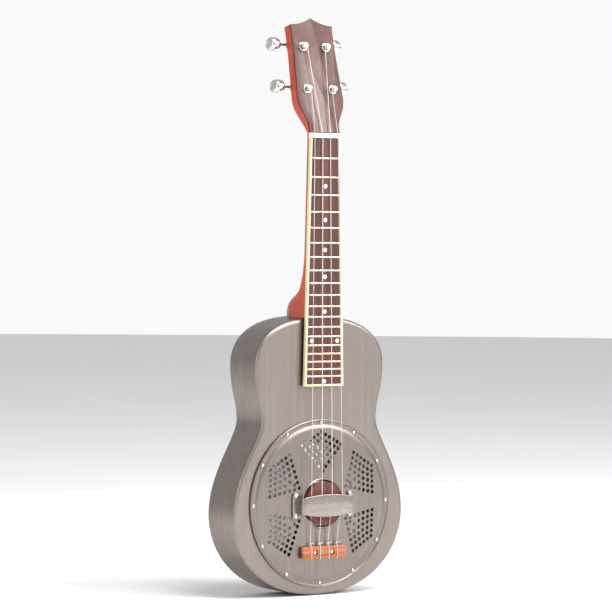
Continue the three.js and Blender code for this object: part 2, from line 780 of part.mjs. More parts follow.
const instrument = new THREE.Group();
head.add(mesh("headplate", headplate(), ROSEWOOD));
POSTS.forEach((_, index) => head.add(tuner(index)));
instrument.add(
  head,
  mesh("body_top", bodyTop(), NICKEL),
  mesh("body_sides", bodySides(), NICKEL),
  mesh("body_back", bodyBack(), NICKEL),
  mesh("soundwell", soundwell(), NICKEL),
  mesh("neck_stick", neckStick(), MAHOGANY),
  mesh("resonator_cone", resonatorCone(), ALUMINIUM),
  mesh("biscuit", biscuit(), BISCUIT_WOOD),
  mesh("saddle", saddle(), BLACK_WOOD),
  mesh("coverplate", coverplate(), NICKEL),
  mesh("palm_rest", palmRest(), NICKEL),
  mesh("tie_block", tieBlock(), TIE_WOOD),
  mesh("neck", neck(), MAHOGANY),
  mesh("fingerboard", fingerboard(), ROSEWOOD),
  mesh("binding", binding(), WHITE),
  mesh("fingerboard_riser", fingerboardRiser(), BLACK_WOOD),
  mesh("nut", nut(), WHITE),
);

const biscuitScrew = screw(3.5, 2, 1.4, 6).rotateX(Math.PI);
instrument.add(mesh("biscuit_screw", biscuitScrew.translate(0, BISCUIT_BACK + 2 * GAP + 0.8, COVER_Z), BRASS));

const coverScrew = screw(1.9, 1.5, 1, 5).translate(0, -1.5 - GAP, 0);
coverScrewPlaces().forEach((p, i) => {
  const placed = mesh("cover_screw_" + (i + 1), coverScrew, CHROME);
  placed.position.copy(p);
  instrument.add(placed);
});

const restScrew = screw(2.3, 1.5, 1, 5).translate(0, -6.8 - GAP, 0);
restScrewPlaces().forEach((p, i) => {
  const placed = mesh("palm_rest_screw_" + (i + 1), restScrew, CHROME);
  placed.position.copy(p);
  instrument.add(placed);
});

const blockScrew = screw(2.4, 1.2, 1.2, 6.5).translate(0, BLOCK_BACK - BLOCK.y + 2.2 - GAP, 0);
blockScrewPlaces().forEach((p, i) => {
  const placed = mesh("tie_block_screw_" + (i + 1), blockScrew, CHROME);
  placed.position.copy(p);
  instrument.add(placed);
});

STRING_RANKS.forEach((_, index) => instrument.add(mesh("string_" + (index + 1), string(index), NYLON)));

export default instrument;
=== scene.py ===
"""Looks of a concert resonator ukulele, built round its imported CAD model.

Shapes are worked out in millimetres in the row frame: +Z runs up the neck, the strings face -Y and
X = 0 is the plane of symmetry. They are turned into metres when a piece is made.
"""

import math

import bmesh
import bpy
import numpy as np
from mathutils import Matrix, Vector
from mathutils.geometry import delaunay_2d_cdt


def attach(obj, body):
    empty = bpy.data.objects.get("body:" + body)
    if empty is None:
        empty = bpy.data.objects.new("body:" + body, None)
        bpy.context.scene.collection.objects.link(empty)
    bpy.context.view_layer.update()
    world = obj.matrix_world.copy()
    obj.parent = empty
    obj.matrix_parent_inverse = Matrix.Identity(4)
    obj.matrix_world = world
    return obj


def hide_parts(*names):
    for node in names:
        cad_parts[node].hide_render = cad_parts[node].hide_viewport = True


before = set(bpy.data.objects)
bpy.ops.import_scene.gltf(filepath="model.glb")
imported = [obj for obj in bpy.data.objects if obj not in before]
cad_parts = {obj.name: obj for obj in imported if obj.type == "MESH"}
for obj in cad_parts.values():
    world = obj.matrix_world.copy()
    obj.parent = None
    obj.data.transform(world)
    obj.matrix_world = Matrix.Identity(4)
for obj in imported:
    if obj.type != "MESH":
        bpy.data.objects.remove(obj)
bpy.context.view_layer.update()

MM = 0.001
ROOT = "instrument"

# ---- sizes, as in the CAD ----------------------------------------------------------------------

SCALE = 381
FRETS = 19
BOARD_FACE = -7
BOARD_THICK = 4.2
BOARD_LENGTH = 264.5
NUT_WIDTH = 38.8
BOARD_END_WIDTH = 50.2
BINDING = 2.2
NECK_FACE = -2.5
STRING_RANKS = (-1, -1 / 3, 1 / 3, 1)

BODY_TOP, BODY_BOTTOM, BODY_DEPTH = -190.5, -488.4, 52
UPPER_BOUT, WAIST, LOWER_BOUT = (83.5, -241), (74.9, -301.4), (109.9, -401)
EDGE_R, FLANGE, SHEET = 4, 12, 1.2

COVER_Z, COVER_R, DOME_R, DOME_HUB_R = -390, 90.2, 82.8, 27.2
COVER_SCREW_R = 85.9
OPENING_R = 82
REST_Z, REST_SCREW_X, REST_SCREW_UP = -391.5, 34.7, 10.7
BLOCK_Z, BLOCK_HALF_WIDTH, BLOCK_HALF_HEIGHT = -442, 28, 6.5
BLOCK_BACK, BLOCK_FACE, BLOCK_HOLE_Y = -5, -9.8, -7.2
BLOCK_SCREW_X, BLOCK_SCREW_Y = 10.85, -7.9
SADDLE_Z = -383

# Outer strings' distance from the middle at the nut, the saddle and the tie block.
NUT_STRING, SADDLE_STRING, BLOCK_STRING = 15, 20, 16.8

TILT = math.radians(13.5)
HEAD_THICK, VENEER = 14, 1.8
POSTS = ((-16.4, 54), (-14.8, 101), (14.8, 101), (16.4, 54))
WORM_PITCH, WORM_R, GEAR_TEETH, WORM_DEPTH = 2, 2.5, 14, 5
GEAR_R = GEAR_TEETH * WORM_PITCH / (2 * math.pi)
WORM_OFFSET = GEAR_R + WORM_R + 0.05
KNOB_REACH = 24.5

HEAD = Matrix.Translation((0, BOARD_FACE, 0)) @ Matrix.Rotation(math.pi / 2 - TILT, 4, "X")

# ---- materials -----------------------------------------------------------------------------------


def srgb(red, green, blue):
    """A colour given as it shows on screen, 0 to 255, as a linear colour."""
    def linear(c):
        c /= 255
        return c / 12.92 if c <= 0.04045 else ((c + 0.055) / 1.055) ** 2.4
    return linear(red), linear(green), linear(blue), 1


class Paint:
    """A node material under construction: each method adds nodes and returns an output socket."""

    def __init__(self, name, **settings):
        self.made = bpy.data.materials.new(name)
        self.made.use_nodes = True
        self.tree = self.made.node_tree
        self.shader = self.tree.nodes["Principled BSDF"]
        for key, value in settings.items():
            self.shader.inputs[key.replace("_", " ")].default_value = value

    def node(self, kind, **inputs):
        made = self.tree.nodes.new("ShaderNode" + kind)
        for key, value in inputs.items():
            self.feed(made.inputs[key], value)
        return made

    def feed(self, socket, value):
        if isinstance(value, bpy.types.NodeSocket):
            self.tree.links.new(value, socket)
        else:
            socket.default_value = value

    def place(self, scale):
        """Object coordinates, stretched by scale per metre."""
        source = self.node("TexCoord").outputs["Object"]
        return self.node("Mapping", Vector=source, Scale=scale).outputs["Vector"]

    def noise(self, scale, detail=2.0, roughness=0.5, distortion=0.0):
        made = self.node("TexNoise", Vector=self.place(scale), Scale=1.0, Detail=detail,
                         Roughness=roughness, Distortion=distortion)
        return made.outputs["Fac"]

    def ramp(self, value, *stops):
        """Maps a value through (place, colour) stops."""
        made = self.node("ValToRGB", Fac=value)
        band = made.color_ramp
        while len(band.elements) < len(stops):
            band.elements.new(0.5)
        for element, (place, colour) in zip(band.elements, stops):
            element.position = place
            element.color = colour if isinstance(colour, tuple) else (colour, colour, colour, 1)
        return made.outputs["Color"]

    def mix(self, factor, a, b):
        return self.node("MixRGB", Fac=factor, Color1=a, Color2=b).outputs["Color"]

    def spread(self, value, low, high):
        """Maps 0.3..0.7 of a noise to low..high."""
        made = self.node("MapRange", Value=value)
        for key, number in (("From Min", 0.3), ("From Max", 0.7), ("To Min", low), ("To Max", high)):
            made.inputs[key].default_value = number
        return made.outputs["Result"]

    def maths(self, kind, a, b):
        made = self.tree.nodes.new("ShaderNodeMath")
        made.operation = kind
        self.feed(made.inputs[0], a)
        self.feed(made.inputs[1], b)
        return made.outputs[0]

    def bump(self, height, distance, strength=1.0):
        made = self.node("Bump", Height=height, Distance=distance, Strength=strength)
        self.tree.links.new(made.outputs["Normal"], self.shader.inputs["Normal"])

    def colour(self, value):
        self.feed(self.shader.inputs["Base Color"], value)

    def roughness(self, value):
        self.feed(self.shader.inputs["Roughness"], value)


def brushed(name, dark, light, rough, along=(1, 1, 0.02), fine=1400, **settings):
    """Satin metal whose brush lines run along the axis that is scaled least."""
    paint = Paint(name, Metallic=1.0, **settings)
    lines = paint.noise([fine * a for a in along], detail=3, roughness=0.6)
    bands = paint.noise([fine * 0.16 * a for a in along], detail=2)
    cloud = paint.noise((14, 14, 14), detail=3)
    both = paint.maths("ADD", paint.maths("MULTIPLY", lines, 0.5), paint.maths("MULTIPLY", bands, 0.5))
    mixed = paint.maths("ADD", paint.maths("MULTIPLY", both, 0.7), paint.maths("MULTIPLY", cloud, 0.3))
    paint.colour(paint.ramp(mixed, (0.32, dark), (0.68, light)))
    paint.roughness(paint.spread(mixed, rough + 0.05, rough - 0.05))
    paint.bump(both, 0.00004)
    return paint


def polished(name, tone, rough, wear=0.06, **settings):
    """Plated or turned metal with faint smudges and fine scratches."""
    paint = Paint(name, Metallic=1.0, **settings)
    smudge = paint.noise((160, 160, 160), detail=4, roughness=0.6)
    scratch = paint.noise((3000, 500, 900), detail=2)
    low = tuple(c * 0.86 for c in tone[:3]) + (1,)
    paint.colour(paint.ramp(smudge, (0.35, low), (0.6, tone)))
    paint.roughness(paint.spread(smudge, rough + wear, rough))
    paint.bump(scratch, 0.000008)
    return paint


def timber(name, dark, mid, light, rough, grain=(420, 420, 14), pores=0.5, **settings):
    """Wood with long grain along the axis that is scaled least, and short dark pores."""
    paint = Paint(name, **settings)
    figure = paint.noise(grain, detail=5, roughness=0.62, distortion=0.6)
    broad = paint.noise([g * 0.22 for g in grain], detail=3, distortion=1.2)
    both = paint.maths("ADD", paint.maths("MULTIPLY", figure, 0.55), paint.maths("MULTIPLY", broad, 0.45))
    body = paint.ramp(both, (0.34, dark), (0.5, mid), (0.66, light))
    pore = paint.noise((grain[0] * 5, grain[1] * 5, grain[2] * 5), detail=2)
    pit = paint.ramp(pore, (0.3, 1.0), (0.4, 0.0))
    paint.colour(paint.mix(paint.maths("MULTIPLY", pit, pores), body, dark))
    paint.roughness(paint.spread(both, rough + 0.06, rough - 0.06))
    paint.bump(paint.maths("SUBTRACT", both, paint.maths("MULTIPLY", pit, 0.5)), 0.00005, 0.6)
    return paint


def moulded(name, low, high, rough, **settings):
    """Plastic, bone or nylon: nearly one tone, with a faint mottle."""
    paint = Paint(name, **settings)
    mottle = paint.noise((220, 220, 60), detail=3)
    paint.colour(paint.ramp(mottle, (0.35, low), (0.65, high)))
    paint.roughness(paint.spread(mottle, rough + 0.05, rough - 0.05))
    paint.bump(paint.noise((1800, 1800, 1800), detail=2), 0.00001)
    return paint


NICKEL = brushed("nickel", srgb(136, 126, 121), srgb(158, 148, 142), 0.34).made
COVER_NICKEL = brushed("cover_nickel", srgb(130, 120, 116), srgb(151, 141, 136), 0.34).made
REST_NICKEL = brushed("rest_nickel", srgb(146, 138, 133), srgb(168, 160, 155), 0.28, along=(0.05, 1, 1)).made
CHROME = polished("chrome", srgb(226, 224, 224), 0.1).made
STEEL = polished("steel", srgb(178, 176, 176), 0.28).made
BRASS = polished("brass", srgb(190, 158, 92), 0.3).made
FRET_METAL = polished("fret_metal", srgb(216, 190, 168), 0.24).made
ALUMINIUM = brushed("cone_aluminium", srgb(214, 212, 210), srgb(240, 238, 236), 0.34, along=(1, 0.3, 1)).made
NECK_WOOD = timber("neck_wood", srgb(158, 48, 18), srgb(196, 66, 26), srgb(218, 92, 38), 0.34,
                   grain=(260, 260, 9), pores=0.25, Coat_Weight=0.35, Coat_Roughness=0.18).made
ROSEWOOD = timber("rosewood", srgb(56, 26, 23), srgb(82, 41, 36), srgb(104, 56, 46), 0.45,
                  grain=(520, 520, 12), pores=0.6).made
HEAD_ROSEWOOD = timber("head_rosewood", srgb(62, 31, 26), srgb(88, 47, 39), srgb(106, 59, 48), 0.36,
                       grain=(420, 420, 10), pores=0.4, Coat_Weight=0.3, Coat_Roughness=0.2).made
BLACK_WOOD = timber("black_wood", srgb(18, 14, 12), srgb(28, 22, 19), srgb(40, 32, 28), 0.45).made
TIE_WOOD = timber("tie_wood", srgb(130, 66, 40), srgb(172, 98, 62), srgb(204, 134, 92), 0.42,
                  grain=(14, 420, 420), pores=0.5).made
BISCUIT_WOOD = timber("biscuit_wood", srgb(74, 34, 28), srgb(104, 52, 43), srgb(128, 70, 56), 0.5).made
BINDING_WHITE = moulded("binding_white", srgb(232, 214, 168), srgb(243, 230, 194), 0.32).made
NUT_WHITE = moulded("nut_white", srgb(238, 233, 222), srgb(250, 248, 243), 0.3).made
PEARL = moulded("pearl", srgb(216, 218, 222), srgb(246, 246, 244), 0.22).made
NYLON = moulded("nylon", srgb(214, 196, 190), srgb(234, 220, 214), 0.28).made

# ---- shapes --------------------------------------------------------------------------------------


def loft(rings, joined=False):
    """Skins a row of equal rings: (points, faces)."""
    count = len(rings[0])
    points = [p for ring in rings for p in ring]
    faces = []
    for row in range(len(rings) if joined else len(rings) - 1):
        near, far = row * count, (row + 1) % len(rings) * count
        for j in range(count):
            k = (j + 1) % count
            faces.append((near + j, near + k, far + k, far + j))
    if not joined:
        faces.append(tuple(range(count)))
        faces.append(tuple(range(len(points) - count, len(points))))
    return points, faces


def turned(profile, segments=48, closed=True):
    """Turns [radius, height] pairs about Z. Points on the axis become poles."""
    points, faces, rows = [], [], []
    for radius, height in profile:
        start = len(points)
        if radius < 1e-9:
            points.append((0, 0, height))
            rows.append([start] * segments)
            continue
        for i in range(segments):
            a = 2 * math.pi * i / segments
            points.append((radius * math.cos(a), radius * math.sin(a), height))
        rows.append(list(range(start, start + segments)))
    pairs = list(zip(rows, rows[1:]))
    if closed and profile[0][0] > 1e-9:
        pairs.append((rows[-1], rows[0]))
    for a, b in pairs:
        for i in range(segments):
            j = (i + 1) % segments
            face = list(dict.fromkeys((a[i], a[j], b[j], b[i])))
            if len(face) > 2:
                faces.append(tuple(face))
    return points, faces


def moved(shape, matrix):
    points, faces = shape
    return [tuple(matrix @ Vector(p)) for p in points], faces


def together(*shapes):
    points, faces = [], []
    for more, theirs in shapes:
        shift = len(points)
        points += list(more)
        faces += [tuple(i + shift for i in f) for f in theirs]
    return points, faces


def rounded(corners, radius, steps=4, closed=False):
    """Replaces each corner of a line by a small curve."""
    out = []
    count = len(corners)
    for i, corner in enumerate(corners):
        here = Vector(corner)
        if not closed and i in (0, count - 1):
            out.append(tuple(here))
            continue
        before, after = Vector(corners[i - 1]), Vector(corners[(i + 1) % count])
        reach = min(radius, (before - here).length * 0.45, (after - here).length * 0.45)
        start = here + (before - here).normalized() * reach
        end = here + (after - here).normalized() * reach
        for k in range(steps + 1):
            t = k / steps
            out.append(tuple(start * (1 - t) ** 2 + here * 2 * t * (1 - t) + end * t * t))
    return out


def tube(path, radius, sides=10):
    """A round tube along listed points, with flat ends. radius may be a function of 0..1."""
    line = [Vector(p) for p in path]
    tangent = [(line[min(i + 1, len(line) - 1)] - line[max(i - 1, 0)]).normalized() for i in range(len(line))]
    side = tangent[0].orthogonal().normalized()
    rings = []
    for i, (p, t) in enumerate(zip(line, tangent)):
        side = (side - t * side.dot(t)).normalized()
        other = t.cross(side)
        r = radius(i / (len(line) - 1)) if callable(radius) else radius
        rings.append([tuple(p + (side * math.cos(a) + other * math.sin(a)) * r)
                      for a in (2 * math.pi * k / sides for k in range(sides))])
    return loft(rings)


def plate(outline, low, high, bevel, steps=3):
    """A flat plate along Z from an outline of (x, y), with rounded edges on both faces."""
    def ring(inset, height):
        out = []
        for i, p in enumerate(outline):
            before, after = Vector(outline[i - 1]), Vector(outline[(i + 1) % len(outline)])
            along = (after - before).normalized()
            out.append((p[0] - along.y * inset, p[1] + along.x * inset, height))
        return out
    area = sum(a[0] * b[1] - b[0] * a[1] for a, b in zip(outline, outline[1:] + outline[:1]))
    sign = 1 if area > 0 else -1
    angles = [math.pi / 2 * k / steps for k in range(steps + 1)]
    rings = [ring(sign * bevel * (1 - math.sin(a)), low + bevel * (1 - math.cos(a))) for a in angles]
    rings += [ring(sign * bevel * (1 - math.cos(a)), high - bevel * (1 - math.sin(a))) for a in angles]
    return loft(rings)


def box_outline(width, height, corner, centre=(0, 0), steps=4):
    w, h = width / 2, height / 2
    corners = [(centre[0] + x, centre[1] + y) for x, y in ((-w, -h), (w, -h), (w, h), (-w, h))]
    return rounded(corners, corner, steps, closed=True)


def pierced(loops, holes, keep, front, back, walls):
    """A thin sheet over the (x, y) plane between two heights, open where the holes are.

    loops are closed lines the sheet follows, keep says if a spot belongs to the sheet, and walls
    says if an open edge at a spot gets a wall from front to back.
    """
    flat, edges = [], []
    for loop in list(loops) + list(holes):
        start = len(flat)
        flat += [Vector(p[:2]) for p in loop]
        edges += [(start + i, start + (i + 1) % len(loop)) for i in range(len(loop))]
    flat, _, triangles = delaunay_2d_cdt(flat, edges, [], 0, 1e-7)[:3]
    centres = [sum((flat[i] for i in t), Vector((0, 0))) / 3 for t in triangles]
    kept = [tuple(t) for t, c in zip(triangles, centres) if keep(c)]
    used = {}
    for t in kept:
        for a, b in zip(t, t[1:] + t[:1]):
            key = (min(a, b), max(a, b))
            used.setdefault(key, []).append((a, b))
    count = len(flat)
    points = [(p.x, p.y, front(p)) for p in flat] + [(p.x, p.y, back(p)) for p in flat]
    faces = kept + [tuple(count + i for i in reversed(t)) for t in kept]
    for sides in used.values():
        if len(sides) == 1:
            a, b = sides[0]
            if walls((flat[a] + flat[b]) / 2):
                faces.append((b, a, a + count, b + count))
    return points, faces


def make(name, shape, material, body=ROOT, stands_for=(), place=None, smooth=35):
    """Makes one piece of the object from a shape in millimetres."""
    points, faces = shape
    if place is not None:
        points = [place @ Vector(p) for p in points]
    mesh = bpy.data.meshes.new(name)
    mesh.from_pydata([[c * MM for c in p] for p in points], [], faces)
    work = bmesh.new()
    work.from_mesh(mesh)
    bmesh.ops.remove_doubles(work, verts=work.verts, dist=2e-7)
    loose = [v for v in work.verts if not v.link_faces]
    bmesh.ops.delete(work, geom=loose, context="VERTS")
    bmesh.ops.recalc_face_normals(work, faces=work.faces)
    work.to_mesh(mesh)
    work.free()
    mesh.shade_smooth()
    mesh.set_sharp_from_angle(angle=math.radians(smooth))
    mesh.materials.append(material)
    obj = bpy.data.objects.new(name, mesh)
    bpy.context.scene.collection.objects.link(obj)
    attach(obj, body)
    if stands_for:
        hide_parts(*stands_for)
    return obj


def finish_node(name, material, bevel=0.0):
    """Gives a CAD node that stays its material and, if asked, softened edges."""
    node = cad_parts[name]
    node.data.materials.clear()
    node.data.materials.append(material)
    if bevel:
        soften = node.modifiers.new("soften", "BEVEL")
        soften.width = bevel * MM
        soften.segments = 2
        soften.limit_method = "ANGLE"
        soften.angle_limit = math.radians(40)


def booleaned(obj, shape, smooth=35):
    """Cuts a shape out of a piece and keeps the result as its mesh."""
    mesh = bpy.data.meshes.new("tool")
    points, faces = shape
    mesh.from_pydata([[c * MM for c in p] for p in points], [], faces)
    work = bmesh.new()
    work.from_mesh(mesh)
    bmesh.ops.recalc_face_normals(work, faces=work.faces)
    work.to_mesh(mesh)
    work.free()
    tool = bpy.data.objects.new("tool", mesh)
    bpy.context.scene.collection.objects.link(tool)
    step = obj.modifiers.new("boolean", "BOOLEAN")
    step.operation, step.object, step.solver = "DIFFERENCE", tool, "EXACT"
    graph = bpy.context.evaluated_depsgraph_get()
    made = bpy.data.meshes.new_from_object(obj.evaluated_get(graph))
    obj.modifiers.clear()
    obj.data = made
    bpy.data.objects.remove(tool)
    made.shade_smooth()
    made.set_sharp_from_angle(angle=math.radians(smooth))
    return obj


# Turns a shape that was drawn with its axis along Z so that its +Z faces the player's side, -Y.
def facing(x=0.0, y=0.0, z=0.0):
    return Matrix.Translation((x, y, z)) @ Matrix.Rotation(math.pi / 2, 4, "X")


# ---- body ----------------------------------------------------------------------------------------


def bezier(a, b, c, d, steps):
    a, b, c, d = (np.array(p, float) for p in (a, b, c, d))
    return [tuple((1 - t) ** 3 * a + 3 * t * (1 - t) ** 2 * b + 3 * t * t * (1 - t) * c + t ** 3 * d)
            for t in (i / steps for i in range(steps))]


def body_outline(steps=26):
    """The body's outline as (x, z), from the top centre down the right side and up the left."""
    (upper_x, upper_z), (waist_x, waist_z), (lower_x, lower_z) = UPPER_BOUT, WAIST, LOWER_BOUT
    right = [
        ((0, BODY_TOP), (71.5, BODY_TOP), (upper_x, upper_z + 18.2), UPPER_BOUT),
        (UPPER_BOUT, (upper_x, upper_z - 29.4), (waist_x, waist_z + 21), WAIST),
        (WAIST, (waist_x, waist_z - 18.4), (lower_x, lower_z + 44.8), LOWER_BOUT),
        (LOWER_BOUT, (lower_x, lower_z - 39.6), (77.9, BODY_BOTTOM), (0, BODY_BOTTOM)),
    ]
    half = [p for curve in right for p in bezier(*curve, steps)]
    return half + [(0, BODY_BOTTOM)] + [(-x, z) for x, z in reversed(half[1:])]


OUTLINE = body_outline()


def body_ring(inset, y):
    out = []
    for i, (x, z) in enumerate(OUTLINE):
        before, after = Vector(OUTLINE[i - 1]), Vector(OUTLINE[(i + 1) % len(OUTLINE)])
        along = (after - before).normalized()
        out.append((x + along.y * inset, y, z - along.x * inset))
    return out


def opening_ring(radius, y):
    angles = [math.atan2(z - COVER_Z, x) for x, z in OUTLINE]
    return [(radius * math.cos(a), y, COVER_Z + radius * math.sin(a)) for a in angles]


def edge_rings(radius, centre, rim, way, steps=8):
    rings = [body_ring(EDGE_R - radius, rim)]
    for i in range(steps + 1):
        a = math.pi / 2 * i / steps
        rings.append(body_ring(EDGE_R - radius * math.cos(a), centre + way * radius * math.sin(a)))
    return rings


def build_body():
    outer = edge_rings(EDGE_R, EDGE_R, FLANGE, -1) + [body_ring(EDGE_R + 2, 0)]
    inner = [body_ring(EDGE_R + 2, SHEET)] + edge_rings(EDGE_R - SHEET, EDGE_R, FLANGE, -1)[::-1]
    opening = [opening_ring(OPENING_R, 0), opening_ring(OPENING_R, SHEET)]
    make("front_plate", loft(outer + opening + inner, joined=True), NICKEL,
         stands_for=["body_top"])

    centre, rim = BODY_DEPTH - EDGE_R, BODY_DEPTH - FLANGE
    outer = [body_ring(EDGE_R + 2, BODY_DEPTH)] + edge_rings(EDGE_R, centre, rim, 1)[::-1]
    inner = edge_rings(EDGE_R - SHEET, centre, rim, 1) + [body_ring(EDGE_R + 2, BODY_DEPTH - SHEET)]
    make("back_plate", loft(outer + inner), NICKEL, stands_for=["body_back"])

    depths = [FLANGE + (rim - FLANGE) * i / 6 for i in range(7)]
    rings = [body_ring(0, y) for y in depths] + [body_ring(SHEET, y) for y in reversed(depths)]
    make("side_band", loft(rings, joined=True), NICKEL, stands_for=["body_sides"])
    finish_node("soundwell", NICKEL)
    finish_node("neck_stick", NECK_WOOD, 0.6)


build_body()

# ---- resonator -----------------------------------------------------------------------------------


def dome(r):
    """How far the cover stands in front of the body at a radius."""
    return 2.2 + 3.6 * (1 - (r / DOME_R) ** 2)


def circle(radius, count, centre=(0, 0), start=0.0):
    steps = (2 * math.pi * (i + start) / count for i in range(count))
    return [(centre[0] + radius * math.cos(a), centre[1] + radius * math.sin(a)) for a in steps]


def diamond_holes():
    """Centres of the cover's holes: rows that step inwards from a diamond's outer corner."""
    centres = []
    outer, inner, flank = Vector((76.2, 0)), Vector((35, 0)), Vector((62.6, 25))
    rows = 6
    for angle in (90, 30, -30, -150, 150):
        turn = Matrix.Rotation(math.radians(angle), 2)
        for k in range(rows + 1):
            apex = outer.lerp(inner, k / rows)
            tip = flank.lerp(inner, k / rows)
            spots = [5, 4, 3, 2, 1, 1, 0][k]
            centres.append(turn @ apex)
            for j in range(1, spots + 1):
                spot = apex.lerp(tip, j / spots)
                centres += [turn @ spot, turn @ Vector((spot.x, -spot.y))]
    return centres


def build_cover():
    hole_r, around = 2.1, 144
    centres = diamond_holes()
    loops = [circle(DOME_R, around), circle(DOME_HUB_R, around)]
    spots = np.array([tuple(c) for c in centres])

    def clear(p):
        return np.hypot(*(spots - np.array(p)).T).min() > hole_r + 0.9

    rings = []
    for i, radius in enumerate(np.arange(30.5, 80.5, 3.5)):
        count = int(radius * 2 * math.pi / 4)
        rings += [[p] for p in circle(radius, count, start=0.5 * (i % 2)) if clear(p)]
    holes = [circle(hole_r, 14, c) for c in centres]

    def keep(p):
        r = p.length
        return DOME_HUB_R < r < DOME_R and np.hypot(*(spots - np.array(p)).T).min() > hole_r * 0.97

    def walls(p):
        return DOME_HUB_R + 0.5 < p.length < DOME_R - 0.5

    sheet = pierced(loops + rings, holes, keep, lambda p: dome(p.length), lambda p: dome(p.length) - 1, walls)
    rim = rounded([(DOME_R, dome(DOME_R)), (84, 1.5), (87.8, 1.5), (88.5, 2.7), (89.4, 2.7), (COVER_R, 2),
                   (COVER_R, 0.3), (89, 0.3), (88.2, 0.6), (83.4, 0.6), (DOME_R, dome(DOME_R) - 1)], 0.45, 3)
    lip = rounded([(DOME_HUB_R, dome(DOME_HUB_R)), (26.4, 6.3), (25.5, 6.2), (25.5, 4.6),
                   (DOME_HUB_R, dome(DOME_HUB_R) - 1)], 0.4, 3)
    shape = together(sheet, turned(rim, around, closed=False), turned(lip, around, closed=False))
    make("cover", shape, COVER_NICKEL, stands_for=["coverplate"], place=facing(z=COVER_Z),
         smooth=30)


def build_cone():
    """The spun cone, with the fine ridges that its spinning leaves."""
    def slope(r):
        t = (r - 25) / (74 - 25)
        return (0.3 + (-14 - 0.3) * t) + 0.22 * math.sin(r * 2 * math.pi / 3.1)
    ridged = [(r, slope(r)) for r in np.arange(25.5, 73.6, 0.5)]
    outer = [(2, 1.5), (23.6, 1.5), (24.6, 1.1)] + ridged + [(74, -14), (79, -14)]
    inner = [(79, -14.8), (73.6, -14.8)] + [(r - 0.3, y - 0.8) for r, y in reversed(ridged)]
    inner += [(24.2, 0.3), (23.4, 0.7), (2, 0.7)]
    make("cone", turned(outer + inner, 96), ALUMINIUM,
         stands_for=["resonator_cone"], place=facing(z=COVER_Z), smooth=40)


def build_biscuit():
    profile = [(0, 1.8), (0.01, 1.8)] + rounded([(21.5, 1.8), (23.5, 1.8), (23.5, 9.5), (0.02, 9.5)], 1.0, 4)
    profile = profile[:-1] + [(0, 9.5)]
    make("biscuit_disc", turned(profile, 72), BISCUIT_WOOD, stands_for=["biscuit"],
         place=facing(z=COVER_Z))
    section = rounded([(-1.3, 6.8), (1.3, 6.8), (1.3, 11.75), (0.5, 13.75), (-0.5, 13.75), (-1.3, 11.75)],
                      0.7, 3, closed=True)
    half = 21.8
    slots = [rank * SADDLE_STRING for rank in STRING_RANKS]
    beside = (s + d for s in slots for d in (-1, -0.45, 0, 0.45, 1))
    stations = sorted({-half, half, -half + 0.5, half - 0.5, *beside})
    rings = []
    for x in stations:
        near = min(abs(x - s) for s in slots)
        dip = 0.35 * max(0, 1 - near / 0.9)
        shrink = 0.3 if abs(x) == half else 0
        rings.append([(x, -(h - (dip + shrink if h > 12 else 0)), SADDLE_Z + z * (1 - shrink / 2))
                      for z, h in section])
    make("saddle_bar", loft(rings), BLACK_WOOD, stands_for=["saddle"])
    finish_node("biscuit_screw", BRASS)


build_cover()
build_cone()
build_biscuit()

# ---- screws --------------------------------------------------------------------------------------


def screw_shape(head, height, shank, length):
    """A round head with a cross recess, its seat at height 0, and its shank below."""
    arm, width, deep = head * 0.56, head * 0.15, height * 0.62
    cross = [(arm, -width), (arm, width), (width, width), (width, arm), (-width, arm), (-width, width),
             (-arm, width), (-arm, -width), (-width, -width), (-width, -arm), (width, -arm), (width, -width)]

    def crown(p):
        return height * (1 - 0.72 * min(p.length / head, 1) ** 2.4)

    def in_cross(p):
        return (abs(p.x) < arm and abs(p.y) < width) or (abs(p.y) < arm and abs(p.x) < width)

    loops = [circle(head, 28)] + [circle(head * k, 28, start=0.5) for k in (0.93, 0.82, 0.7)]
    points, faces = pierced(loops, [cross], lambda p: p.length < head and not in_cross(p), crown,
                            lambda p: crown(p) - deep if p.length < head * 0.68 else 0.0,
                            lambda p: p.length < head * 0.68)
    count = len(points) // 2
    ring = [(x * 0.8, y * 0.8) for x, y in cross]
    base = len(points)
    points = points + [(x, y, height - deep) for x, y in ring]
    flat = list(range(base, base + len(ring)))
    skin = [f for f in faces if not any(i >= count for i in f)]
    points = points + [(x, y, crown(Vector((x, y)))) for x, y in cross]
    lip = list(range(len(points) - len(cross), len(points)))
    sides = [(lip[i], lip[(i + 1) % len(lip)], flat[(i + 1) % len(lip)], flat[i]) for i in range(len(lip))]
    rim = (head, crown(Vector((head, 0))))
    skirt = turned([rim, (head * 0.97, 0), (shank, 0), (shank, -length), (0, -length)], 28, closed=False)
    return together((points, skin + sides + [tuple(flat)]), skirt)


